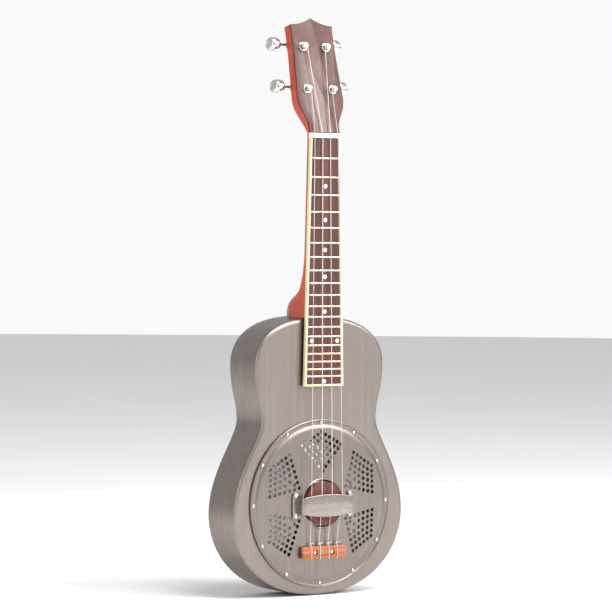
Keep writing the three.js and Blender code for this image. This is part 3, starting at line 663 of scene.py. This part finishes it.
def build_screws():
    for i in range(12):
        a = math.pi / 2 - i * math.pi / 6
        spot = (COVER_SCREW_R * math.cos(a), -1.8, COVER_Z + COVER_SCREW_R * math.sin(a))
        turn = Matrix.Rotation(0.9 * i, 4, "Z")
        make(f"cover_screw_head_{i + 1}", screw_shape(1.95, 1.5, 1, 4), CHROME,
             stands_for=[f"cover_screw_{i + 1}"], place=facing(*spot) @ turn, smooth=30)
    places = [(side * REST_SCREW_X, -7.1, REST_Z + end * REST_SCREW_UP)
              for side in (-1, 1) for end in (1, -1)]
    for i, spot in enumerate(places):
        make(f"rest_screw_head_{i + 1}", screw_shape(2.3, 1.5, 1, 4), CHROME,
             stands_for=[f"palm_rest_screw_{i + 1}"], place=facing(*spot) @ Matrix.Rotation(0.6 + i, 4, "Z"),
             smooth=30)
    for i, side in enumerate((-1, 1)):
        spot = facing(side * BLOCK_SCREW_X, BLOCK_SCREW_Y, BLOCK_Z)
        make(f"block_screw_head_{i + 1}", screw_shape(2.35, 1.3, 1.2, 6), CHROME,
             stands_for=[f"tie_block_screw_{i + 1}"], place=spot @ Matrix.Rotation(0.3 + i, 4, "Z"),
             smooth=30)


build_screws()

# ---- palm rest and tie block -----------------------------------------------------------------------


def spline(points, per=6):
    """A smooth line through points (any dimension)."""
    pts = [np.array(p, float) for p in points]
    out = []
    for i in range(len(pts) - 1):
        a, b, c, d = pts[max(i - 1, 0)], pts[i], pts[i + 1], pts[min(i + 2, len(pts) - 1)]
        for k in range(per):
            t = k / per
            out.append(0.5 * (2 * b + (c - a) * t + (2 * a - 5 * b + 4 * c - d) * t * t
                              + (3 * b - a - 3 * c + d) * t ** 3))
    return [*out, pts[-1]]


def build_palm_rest():
    """A strap bent over the saddle, between two eared feet."""
    thick = 1.4
    half = [(34.6, 6.9, 8.0), (34.2, 9.5, 8.1), (33.6, 12.5, 8.4), (32.9, 14.9, 8.8), (31.4, 16.6, 9.1),
            (28.6, 17.3, 9.5), (22, 17.55, 10.5), (12, 17.8, 11.6), (0, 17.9, 12)]
    line = spline(half + [(-x, y, w) for x, y, w in reversed(half[:-1])], 4)
    rings = []
    for i, (x, y, w) in enumerate(line):
        ahead, behind = line[min(i + 1, len(line) - 1)], line[max(i - 1, 0)]
        along = Vector((ahead[0] - behind[0], ahead[1] - behind[1])).normalized()
        out = Vector((along.y, -along.x))
        section = box_outline(2 * w, thick, 0.5, steps=3)
        ring = []
        for across, depth in section:
            lift = depth - thick / 2
            ring.append((x + out.x * lift, -(y + out.y * lift), REST_Z + across))
        rings.append(ring)
    strap = loft(rings)
    feet = []
    for side in (-1, 1):
        corners = [(31.9, -8.6), (31.9, -13.9), (38.6, -13.9), (39.4, -9),
                   (39.4, 9), (38.6, 13.9), (31.9, 13.9), (31.9, 8.6)]
        outline = rounded([(side * x, y) for x, y in corners], 2.2, 4, closed=True)
        feet.append(moved(plate(outline, 5.7, 6.9, 0.35), facing(z=REST_Z)))
    make("palm_rest_strap", together(strap, *feet), REST_NICKEL, stands_for=["palm_rest"],
         smooth=40)


def build_tie_block():
    outline = box_outline(2 * BLOCK_HALF_WIDTH, 2 * BLOCK_HALF_HEIGHT, 2.2, steps=5)
    blank = plate(outline, -BLOCK_BACK, -BLOCK_FACE, 0.9, 4)
    block = make("tie_block_wood", blank, TIE_WOOD, stands_for=["tie_block"],
                 place=facing(z=BLOCK_Z))
    for side in (-1, 1):
        well = turned([(0, 7.6), (2.75, 7.6), (2.75, 11), (0, 11)], 40)
        booleaned(block, moved(well, facing(side * BLOCK_SCREW_X, 0, BLOCK_Z)), smooth=30)
    for rank in STRING_RANKS:
        ends = [(rank * BLOCK_STRING, BLOCK_HOLE_Y, BLOCK_Z + along) for along in (12, -12)]
        booleaned(block, tube(ends, 0.8, 16), smooth=30)


build_palm_rest()
build_tie_block()

# ---- neck ----------------------------------------------------------------------------------------


def board_half(z):
    return (NUT_WIDTH + (BOARD_END_WIDTH - NUT_WIDTH) * -min(z, 0) / BOARD_LENGTH) / 2


def head_side():
    """Right edge of the headstock from its throat to its corner, as (x, up)."""
    points = [(19.4, 4), (19.2, 10), (19.6, 16), (23.4, 25), (27.6, 34),
              (29.4, 44), (28.6, 60), (27.2, 88), (26.6, 112), (27, 125.4)]
    return [tuple(p) for p in spline(points, 8)]


HEAD_SIDE = head_side()
HEAD_TOP, HEAD_APEX, HEAD_CORNER_X = 125.4, 133.5, 27


def crest(x):
    """Height of the headstock's top edge across its width."""
    steps = np.linspace(0, 1, 60)
    across = (1 - steps) ** 2 * HEAD_CORNER_X + 2 * steps * (1 - steps) * 12
    s = float(np.interp(-abs(x), -across, steps)) if x else 1.0
    return (1 - s) ** 2 * HEAD_TOP + 2 * s * (1 - s) * 125.8 + s * s * HEAD_APEX


def section_points(half, depth, squareness, steps=30):
    """The back of the neck's section as (across, depth 0..depth), from right to left."""
    out = []
    for i in range(steps + 1):
        a = math.pi * i / steps
        across = math.copysign(abs(math.cos(a)) ** (2 / squareness), math.cos(a))
        out.append((half * across, depth * max(math.sin(a), 0) ** (2 / squareness)))
    return out


def build_neck():
    # Height, back of the wood and squareness of each section.
    sections = [(2.5, 8.2, 2.3), (0, 7.6, 2.2), (-15, 7.5, 2.2), (-60, 8, 2.2), (-120, 8.9, 2.2),
                (-136, 10.8, 2.3), (-147, 14, 2.4), (-156, 17.6, 2.6), (-163, 22, 2.7), (-168, 30, 2.8),
                (-172, 37.5, 2.9), (-177, 43.5, 3), (-184, 47.2, 3), (-199, 48, 3)]
    rings = []
    top = 120
    crested = [(top, 1), (112, 0.55), (100, 0.2)]
    plain = [(s, 0) for s in (90, 75, 60, 50, 44, 38, 34, 30, 26, 23, 20, 17, 14.5, 12, 9.5, 7.2)]
    for s, corner in crested + plain:
        half = float(np.interp(s, [p[1] for p in HEAD_SIDE], [p[0] for p in HEAD_SIDE]))
        square = 2.4 + 11.6 * min(max((s - 7) / 22, 0), 1) ** 1.5
        front, back = VENEER + 0.3, HEAD_THICK
        ring = []
        for x, depth in section_points(half, back - front, square):
            lift = (crest(x) - HEAD_TOP) * corner + (HEAD_TOP - top) * (s == top)
            ring.append(tuple(HEAD @ Vector((x, s + lift, -front - depth))))
        rings.append(ring)
    for z, back, square in spline(sections, 5):
        section = section_points(board_half(z), back - NECK_FACE, square)
        rings.append([(x, NECK_FACE + depth, z) for x, depth in section])
    neck = make("neck_wood_piece", loft(rings), NECK_WOOD, stands_for=["neck"], smooth=50)
    shell = loft([body_ring(-0.05, -20), body_ring(-0.05, 80)])
    booleaned(neck, shell, smooth=50)

    right = [(x, s) for x, s in HEAD_SIDE if s > 6.4]
    top_edge = [(x, crest(x)) for x in np.linspace(26.2, -26.2, 40)]
    outline = [(19.25, 6.4)] + right + top_edge + [(-x, s) for x, s in reversed(right)] + [(-19.25, 6.4)]
    make("headplate_veneer", plate(outline, -VENEER - 0.05, 0, 0.3, 2), HEAD_ROSEWOOD,
         stands_for=["headplate"], place=HEAD, smooth=50)


def tapered(top, bottom, inset, front, back):
    """A slab that follows the board's edges."""
    rings = []
    for z in np.linspace(top, bottom, 12):
        half = board_half(z) - inset
        corners = [(-half, back), (-half, front), (half, front), (half, back)]
        rings.append([(x, y, z) for x, y in corners])
    return loft(rings)


def fret_z(n):
    return -SCALE * (1 - 2 ** (-n / 12))


def build_fingerboard():
    inset = BINDING - 0.02
    end = -BOARD_LENGTH + BINDING - 0.02
    back = BOARD_FACE + BOARD_THICK
    make("board", tapered(0.3, end, inset, BOARD_FACE, back), ROSEWOOD,
         stands_for=["fingerboard"])
    wires = []
    for n in range(1, FRETS + 1):
        z = fret_z(n)
        half = board_half(z) - inset - 0.1
        crown = [(1.15 * math.cos(a), 0.95 * math.sin(a)) for a in np.linspace(0, math.pi, 11)]
        rings = []
        ends = [(half, 0.55), (half - 0.35, 0.9), (half - 0.9, 1)]
        for x, k in [(-x, k) for x, k in ends] + ends[::-1]:
            rings.append([(x, BOARD_FACE - h * k, z + c) for c, h in crown] +
                         [(x, BOARD_FACE + 0.6, z - 1.1), (x, BOARD_FACE + 0.6, z + 1.1)])
        wires.append(loft(rings))
    make("frets", together(*wires), FRET_METAL, smooth=40)

    spots = [(0, (fret_z(n - 1) + fret_z(n)) / 2) for n in (3, 5, 7, 9, 12)]
    spots += [(side * 16.5, (fret_z(14) + fret_z(15)) / 2) for side in (-1, 1)] + [(0, -259.3)]
    dome_edge = rounded([(2.2, -0.4), (2.35, 0.03), (0.01, 0.05)], 0.05, 2)[:-1]
    disc = turned([(0, 0.0), *dome_edge, (0, 0.05)], 28)
    dots = [moved(disc, facing(x, BOARD_FACE, z)) for x, z in spots]
    make("fret_dots", together(*dots), PEARL, smooth=30)

    # The binding: a U-shaped band round the board's sides and end.
    left, inner_left = [], []
    for z in np.linspace(0.3, -BOARD_LENGTH, 16):
        left.append((-board_half(z), z))
    for z in np.linspace(-BOARD_LENGTH + BINDING, 0.3, 16):
        inner_left.append((-board_half(z) + BINDING, z))
    right = [(-x, z) for x, z in reversed(left)]
    inner_right = [(-x, z) for x, z in reversed(inner_left)]
    # Round the outside from left to right, then back along the inside.
    outline = left + right + inner_right + inner_left
    flat = plate(outline, -back, -BOARD_FACE, 0.18, 2)
    make("board_binding", flat, BINDING_WHITE, stands_for=["binding"], place=facing(),
         smooth=30)
    make("riser", tapered(BODY_TOP - 0.4, -BOARD_LENGTH + 2.5, 2.6, NECK_FACE - 0.3, 0), BLACK_WOOD,
         stands_for=["fingerboard_riser"])


def build_nut():
    """A block whose top has a groove for each string."""
    corners = [(0.3, 2.6), (5.5, 2.6), (5.5, 7.4), (4.6, 8.15), (2.5, 8.6), (0.3, 8.3)]
    section = rounded(corners, 0.6, 3, closed=True)
    half = NUT_WIDTH / 2
    slots = [rank * NUT_STRING for rank in STRING_RANKS]
    stations = sorted({-half, half, -half + 0.4, half - 0.4,
                       *(s + d for s in slots for d in (-0.9, -0.45, 0, 0.45, 0.9))})
    rings = []
    for x in stations:
        near = min(abs(x - s) for s in slots)
        dip = 0.75 * max(0, 1 - near / 0.85) ** 0.6
        shrink = 0.35 if abs(x) == half else 0
        rings.append([(x, -(h - (dip + shrink if h > 6.5 else 0)), z) for z, h in section])
    make("nut_bone", loft(rings), NUT_WHITE, stands_for=["nut"], smooth=40)


build_neck()
build_fingerboard()
build_nut()

# ---- strings -------------------------------------------------------------------------------------

GAUGES = (0.3, 0.44, 0.38, 0.32)


def build_string(index):
    """A string from its post over the nut and the saddle to its knot on the tie block."""
    rank, radius = STRING_RANKS[index], GAUGES[index]
    post_x, post_up = POSTS[index]
    side = math.copysign(1, post_x)
    body = f"tuner_{index + 1}_string_post"
    coil_r = 2.75 + radius
    start = HEAD @ Vector((post_x - side * coil_r, post_up, 4))
    tie = rank * BLOCK_STRING
    top, foot = BLOCK_Z + BLOCK_HALF_HEIGHT, BLOCK_Z - BLOCK_HALF_HEIGHT
    face = BLOCK_FACE - radius - 0.05
    course = [
        tuple(start),
        (rank * NUT_STRING, -7.85 - radius - 0.1, 2.5),
        (rank * SADDLE_STRING, -13.5 - radius - 0.1, SADDLE_Z),
        (tie, BLOCK_HOLE_Y, top + 0.5),
        (tie, BLOCK_HOLE_Y, foot - 1.2),
        (tie, face, foot - 0.6),
        (tie, face, top + 0.4),
    ]
    course = rounded(course, 1.4, 5)
    axis = (Vector((rank * SADDLE_STRING, -13.9, SADDLE_Z)) - Vector((tie, BLOCK_HOLE_Y, top))).normalized()
    hub = Vector((tie, BLOCK_HOLE_Y, top)) + axis * 2.4
    out = Vector((0, -1, 0))
    out = (out - axis * out.dot(axis)).normalized()
    across = axis.cross(out)
    wrap = radius * 2 + 0.12
    knot = []
    for k in range(29):
        a = 2 * math.pi * 2.1 * k / 28
        centre = hub + axis * (0.9 * k / 28)
        knot.append(tuple(centre + (out * math.cos(a) + across * math.sin(a)) * wrap))
    last = Vector(knot[-1])
    tail = [tuple(last + Vector((1.1, -0.3, 0.4))), tuple(last + Vector((2.6 + 0.5 * index, -0.9, 0.7)))]
    run = course + [tuple(p) for p in spline([course[-1], knot[0]], 4)[1:-1]] + knot + tail
    clean = [run[0]]
    for p in run[1:]:
        if (Vector(p) - Vector(clean[-1])).length > 0.05:
            clean.append(p)
    make(f"string_{index + 1}_nylon", tube(clean, radius, 12), NYLON,
         stands_for=[f"string_{index + 1}"], smooth=60)

    turns, steps = 2.25, 60
    coil = []
    for k in range(steps + 1):
        a = (math.pi if side > 0 else 0) - side * 2 * math.pi * turns * (1 - k / steps)
        height = 4 + (1 - k / steps) * turns * radius * 2.15
        coil.append((coil_r * math.cos(a), coil_r * math.sin(a), height))
    first = Vector(coil[0])
    through = [
        (-1.9 * first.x, -1.9 * first.y, first.z + 0.2),
        (-0.5 * first.x, -0.5 * first.y, (first.z + 0.4) * 0.5),
        (0, 0, first.z + 0.3),
    ]
    line = through + coil
    make(f"string_{index + 1}_winding", tube(line, radius, 10), NYLON, body=body,
         place=HEAD @ Matrix.Translation((post_x, post_up, 0)), smooth=60)


for number in range(4):
    build_string(number)

# ---- tuners --------------------------------------------------------------------------------------


def gear_outline(crown=5.0, root=3.7):
    tooth = 2 * math.pi / GEAR_TEETH
    out = []
    for i in range(GEAR_TEETH):
        for turn, radius in ((-0.3, root), (-0.14, (crown + root) / 2 + 0.1), (-0.1, crown), (0.1, crown),
                             (0.14, (crown + root) / 2 + 0.1), (0.3, root)):
            a = math.pi / 2 + (i + turn) * tooth
            out.append((radius * math.cos(a), radius * math.sin(a)))
    return out


def twisted(outline, lengths, per_length, scale=lambda z: 1.0):
    rings = []
    for z in lengths:
        c, s = math.cos(per_length * z), math.sin(per_length * z)
        k = scale(z)
        rings.append([((x * c - y * s) * k, (x * s + y * c) * k, z) for x, y in outline])
    return loft(rings)


def worm_outline(crest_r=3.05, root=1.75, count=32):
    out = []
    for i in range(count):
        a = 2 * math.pi * i / count
        swell = max(0.0, min(1.0, (math.cos(a) + 0.25) / 0.75))
        radius = root + (crest_r - root) * swell
        out.append((radius * math.cos(a), radius * math.sin(a)))
    return out


def build_tuner(index):
    name = f"tuner_{index + 1}_"
    drive, post_body = name + "drive", name + "string_post"
    x, up = POSTS[index]
    place = HEAD @ Matrix.Translation((x, up, -HEAD_THICK))
    drive_place = place @ Matrix.Translation((0, WORM_OFFSET, -WORM_DEPTH))
    if x < 0:
        drive_place = place @ Matrix.Translation((0, 0, -WORM_DEPTH)) @ Matrix.Rotation(math.pi, 4, "Y") \
            @ Matrix.Translation((0, WORM_OFFSET, 0))
    along_x = Matrix(((0, 0, 1, 0), (1, 0, 0, 0), (0, 1, 0, 0), (0, 0, 0, 1)))

    flat = plate(box_outline(16, 21, 2.4, (0, 3)), -1.3, -0.3, 0.25, 2)
    ears = []
    for ear_x in (-5.3, 5.3):
        ear = plate(box_outline(8.3, 7, 2.6, (0, 0)), -0.6, 0.6, 0.2, 2)
        stand = Matrix.Translation((ear_x, WORM_OFFSET, -4.75)) @ Matrix.Rotation(math.pi / 2, 4, "Y")
        ears.append(moved(ear, stand))
    make(name + "base", together(flat, *ears), STEEL, stands_for=[name + "plate"],
         place=place)
    small = screw_shape(1.35, 0.8, 0.6, 4)
    for k, spot in enumerate(((-5.7, -5.4), (5.7, -5.4), (0, 11.8))):
        back = place @ Matrix.Translation((*spot, -1.3)) @ Matrix.Rotation(math.pi, 4, "X")
        turn = Matrix.Rotation(0.7 * k, 4, "Z")
        make(f"{name}base_screw_{k + 1}", small, STEEL, place=back @ turn)

    front = HEAD_THICK
    corners = [(3.4, -8), (4.3, -8), (4.3, 0.05), (5, 0.05), (5, 0.7), (4.4, 1.3), (3.4, 1.3)]
    washer = rounded([(radius, front + up) for radius, up in corners], 0.3, 3, closed=True)
    make(name + "washer", turned(washer, 48), CHROME, stands_for=[name + "ferrule"],
         place=place)

    top = front + 7
    tip = [(0, top), (2.2, top - 0.1), (2.95, top - 0.7)]
    waist = [(2.6, front + 5.2), (2.4, front + 4.2), (2.7, front + 2.9), (3, front + 2)]
    tail = [(3, -1), (2.2, -1.2), (2.2, -2.2), (1.9, -2.6), (0, -2.6)]
    profile = rounded(tip + waist + [(radius, up - WORM_DEPTH) for radius, up in tail], 0.4, 3)
    make(name + "capstan", turned(profile, 40), CHROME, body=post_body,
         stands_for=[name + "post"], place=place)
    lead = WORM_PITCH / (2 * math.pi * WORM_R)
    gear = twisted(gear_outline(), (-1.5, -1.25, 0, 1.25, 1.5), lead / GEAR_R,
                   lambda z: 0.96 if abs(z) > 1.4 else 1)
    make(name + "gear", gear, BRASS, body=post_body,
         place=place @ Matrix.Translation((0, 0, -WORM_DEPTH)))

    reach = KNOB_REACH - 5
    steps = 72
    lengths = [-3 + 6 * k / steps for k in range(steps + 1)]
    worm = twisted(worm_outline(), lengths, 2 * math.pi / WORM_PITCH,
                   lambda z: 1 - 0.4 * max(0.0, (abs(z) - 2.4) / 0.6))
    rim = rounded([(1.2, -6.8), (1.5, -6.4), (1.5, reach), (0.01, reach)], 0.2, 2)[:-1]
    shaft = turned([(0, -6.8), *rim, (0, reach)], 24)
    make(name + "worm", moved(together(worm, shaft), along_x), STEEL, body=drive,
         stands_for=[name + "worm_shaft"], place=drive_place)

    half, wide = 6.7, 7.75
    barrel = [(0, -half + 0.1), (1.8, -half + 0.1), (2.4, -half), (3.4, -half + 0.15)]
    for a in np.linspace(0.12, math.pi / 2, 9):
        barrel.append((3.4 + (wide - 3.4) * math.sin(a), -half + 4.6 - 4.45 * math.cos(a)))
    barrel += [(wide, -1.9), (wide - 0.35, -1.6), (wide - 0.35, 1.6), (wide, 1.9)]
    for a in np.linspace(0, math.pi / 2 - 0.12, 9):
        barrel.append((3.4 + (wide - 3.4) * math.cos(a), half - 4.6 + 4.45 * math.sin(a)))
    barrel += [(3.2, half - 0.1), (2.9, half - 0.5), (0, half - 0.5)]
    knob = turned([(r, z + KNOB_REACH) for r, z in barrel], 56)
    make(name + "button", moved(knob, along_x), CHROME, body=drive, stands_for=[name + "knob"],
         place=drive_place, smooth=40)


for number in range(4):
    build_tuner(number)

# ---- studio --------------------------------------------------------------------------------------


def build_floor():
    mesh = bpy.data.meshes.new("floor")
    work = bmesh.new()
    bmesh.ops.create_circle(work, cap_ends=True, segments=64, radius=9)
    work.to_mesh(mesh)
    work.free()
    floor = bpy.data.objects.new("floor", mesh)
    floor.location.z = (BODY_BOTTOM - 0.6) * MM
    bpy.context.scene.collection.objects.link(floor)
    paint = Paint("floor_paint", Roughness=0.9)
    paint.colour(paint.ramp(paint.noise((3, 3, 3)), (0.3, srgb(250, 250, 250)), (0.7, srgb(253, 253, 253))))
    mesh.materials.append(paint.made)


def area_light(name, spot, target, size, watts):
    data = bpy.data.lights.new(name, "AREA")
    data.shape, data.size, data.size_y = "RECTANGLE", size[0], size[1]
    data.energy = watts
    light = bpy.data.objects.new(name, data)
    light.location = spot
    light.rotation_mode = "QUATERNION"
    light.rotation_quaternion = (Vector(target) - Vector(spot)).to_track_quat("-Z", "Y")
    bpy.context.scene.collection.objects.link(light)


def build_camera():
    """The photograph's camera: to the left of the front, almost level, with a long lens."""
    yaw, pitch, roll = (math.radians(a) for a in (34.514, -1.229, 0.394))
    look = Vector((math.sin(yaw) * math.cos(pitch), math.cos(yaw) * math.cos(pitch), math.sin(pitch)))
    level = Vector((math.cos(yaw), -math.sin(yaw), 0))
    above = level.cross(look)
    right = level * math.cos(roll) + above * math.sin(roll)
    up = above * math.cos(roll) - level * math.sin(roll)
    spot = right * -19.965 + up * 11.1255 - look * 3319.57 + Vector((0, -7, -190))
    data = bpy.data.cameras.new("camera")
    data.sensor_width = 36
    data.lens = 3109.27 * 36 / 612
    data.clip_end = 50
    camera = bpy.data.objects.new("camera", data)
    camera.matrix_world = Matrix.Translation(spot * MM) @ Matrix((right, up, -look)).transposed().to_4x4()
    bpy.context.scene.collection.objects.link(camera)
    bpy.context.scene.camera = camera


build_floor()


def build_world():
    """A dim room for the lighting, behind which the camera sees a white backdrop."""
    world = bpy.data.worlds.new("studio")
    world.use_nodes = True
    tree = world.node_tree
    backdrop = tree.nodes["Background"]
    backdrop.inputs["Color"].default_value = (1, 1, 1, 1)
    backdrop.inputs["Strength"].default_value = 0.95
    room = tree.nodes.new("ShaderNodeBackground")
    room.inputs["Color"].default_value = (1, 1, 1, 1)
    room.inputs["Strength"].default_value = 0.6
    rays = tree.nodes.new("ShaderNodeLightPath")
    choose = tree.nodes.new("ShaderNodeMixShader")
    tree.links.new(rays.outputs["Is Camera Ray"], choose.inputs["Fac"])
    tree.links.new(room.outputs["Background"], choose.inputs[1])
    tree.links.new(backdrop.outputs["Background"], choose.inputs[2])
    tree.links.new(choose.outputs["Shader"], tree.nodes["World Output"].inputs["Surface"])
    bpy.context.scene.world = world


area_light("key", (1.3, -1.7, 0.9), (0, 0, -0.2), (1.2, 1.2), 42)
area_light("top", (0.3, -1.1, 2.1), (0, 0, -0.1), (1.6, 1.2), 52)
area_light("fill", (-1.9, -1.6, 0.4), (0, 0, -0.3), (0.5, 1.6), 8)
build_world()
bpy.context.scene.view_settings.view_transform = "Standard"
build_camera()
